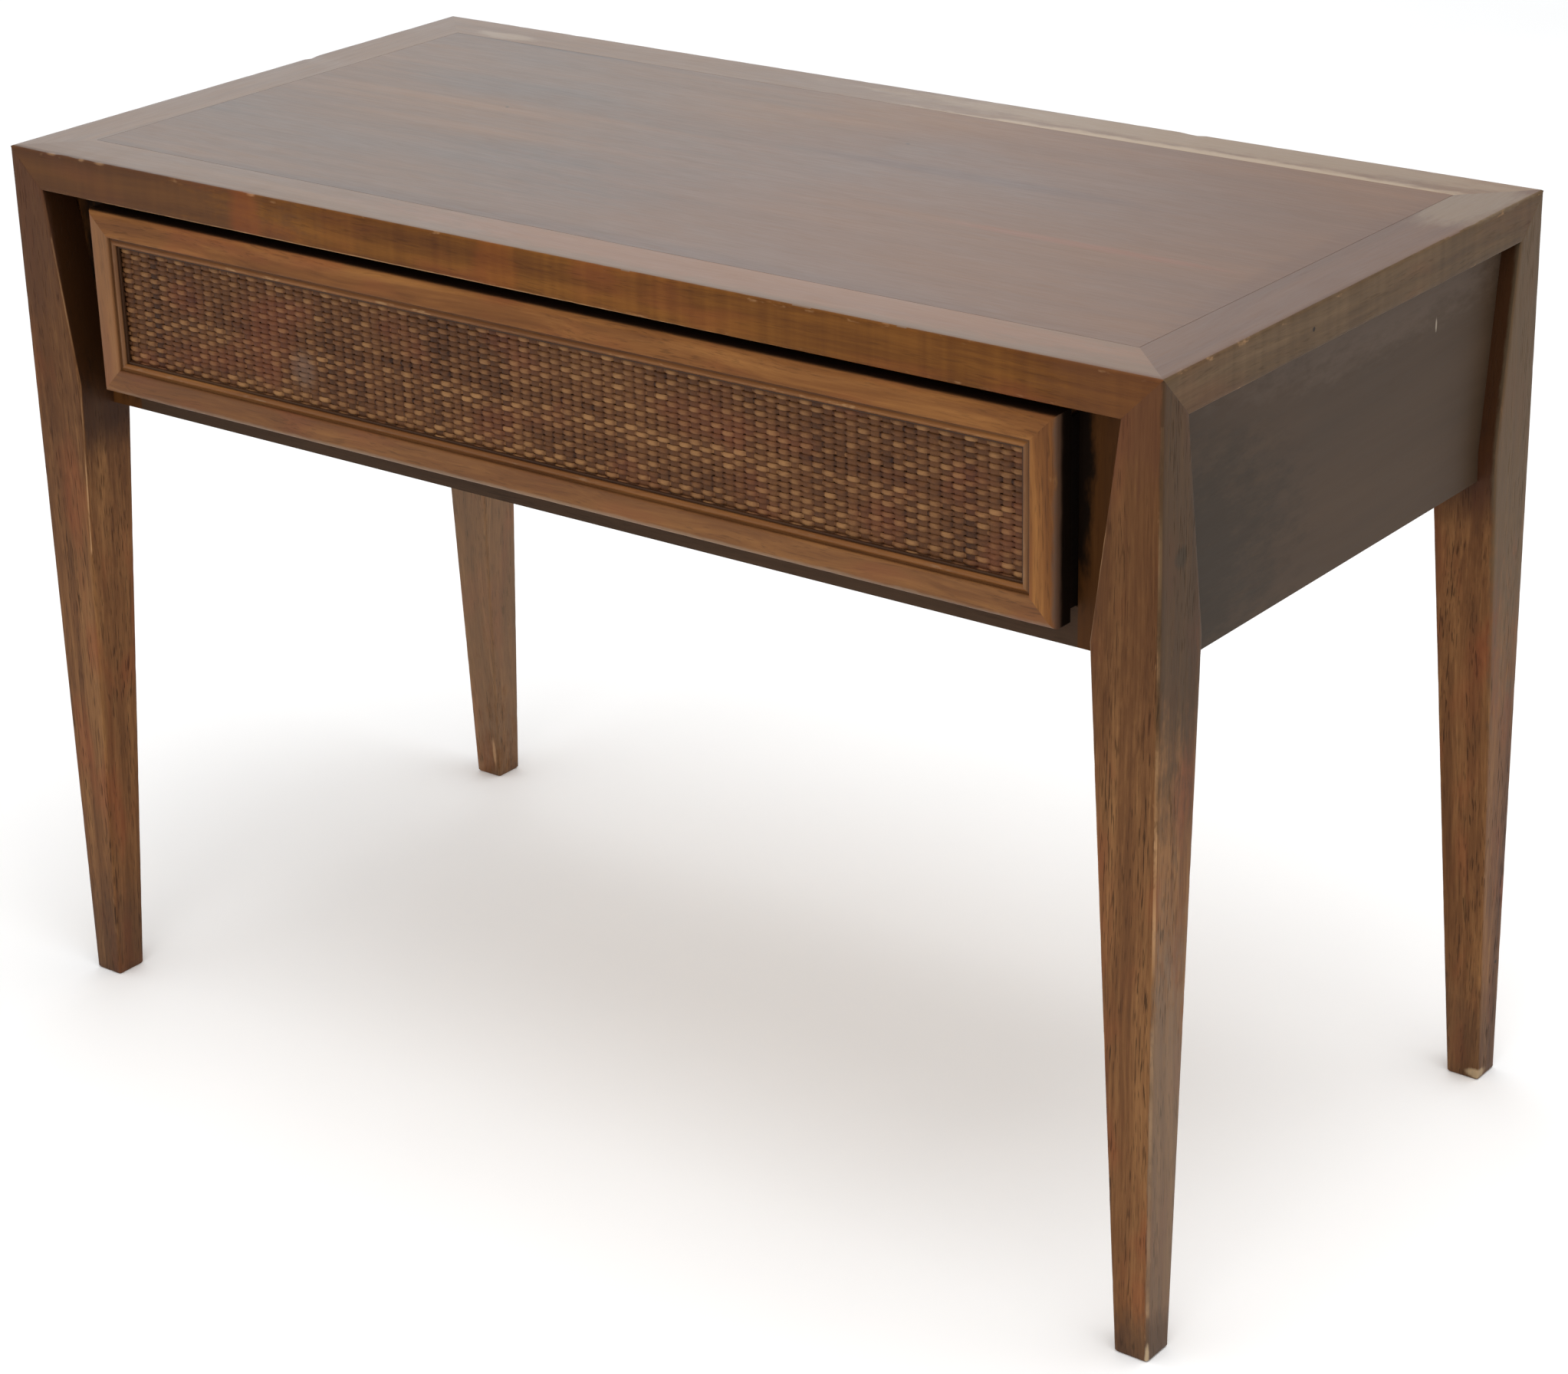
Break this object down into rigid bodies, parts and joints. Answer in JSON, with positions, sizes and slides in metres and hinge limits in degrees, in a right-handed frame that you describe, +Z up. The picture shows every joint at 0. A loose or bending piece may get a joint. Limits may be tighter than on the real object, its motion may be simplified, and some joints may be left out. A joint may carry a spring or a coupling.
{
  "type": "side table",
  "caption": "Low rectangular side table with tapered square legs, mitred top frame and one wide drawer with a framed woven cane front.",
  "frame": {"origin": "on the floor, under the middle of the table", "axes": "+X along the front to the right as one faces the drawer, +Y from the drawer front to the back, +Z up"},
  "size_m": [0.812, 0.398, 0.554],
  "materials": {
    "veneer": "satin walnut veneer, grain along the length",
    "walnut_top": "satin solid walnut",
    "walnut_leg": "satin solid walnut, worn at the edges",
    "walnut_case": "satin walnut veneer",
    "walnut_front": "satin solid walnut",
    "cane": "closely woven stained cane",
    "secondary": "plain unstained hardwood",
    "plywood": "thin unstained plywood",
    "steel": "plain zinc-plated wood screws"
  },
  "bodies": {
    "table": {"top_veneer": "veneer", "top_core": "secondary", "top_frame_front": "walnut_top", "top_frame_back": "walnut_top", "top_frame_left": "walnut_top", "top_frame_right": "walnut_top", "leg_front_left": "walnut_leg", "leg_front_right": "walnut_leg", "leg_back_left": "walnut_leg", "leg_back_right": "walnut_leg", "case_side_left": "walnut_case", "case_side_right": "walnut_case", "case_back": "walnut_case", "case_stile_left": "walnut_case", "case_stile_right": "walnut_case", "case_bottom_rail": "walnut_case", "drawer_runner_left": "secondary", "drawer_runner_right": "secondary", "drawer_guide_left": "secondary", "drawer_guide_right": "secondary", "drawer_kicker_left": "secondary", "drawer_kicker_right": "secondary", "drawer_stops": "secondary", "top_screws": "steel", "guide_screws": "steel"},
    "drawer": {"front_frame_top": "walnut_front", "front_frame_bottom": "walnut_front", "front_frame_left": "walnut_front", "front_frame_right": "walnut_front", "front_bead_top": "walnut_front", "front_bead_bottom": "walnut_front", "front_bead_left": "walnut_front", "front_bead_right": "walnut_front", "cane_panel": "cane", "cane_backing": "secondary", "drawer_inner_front": "secondary", "drawer_back": "secondary", "drawer_side_left": "secondary", "drawer_side_right": "secondary", "drawer_bottom": "plywood", "front_screws": "steel"}
  },
  "joints": [
    {"name": "drawer_slide", "type": "slide", "parent": "table", "child": "drawer", "axis": [0, -1, 0], "range_m": [0, 0.25]}
  ]
}
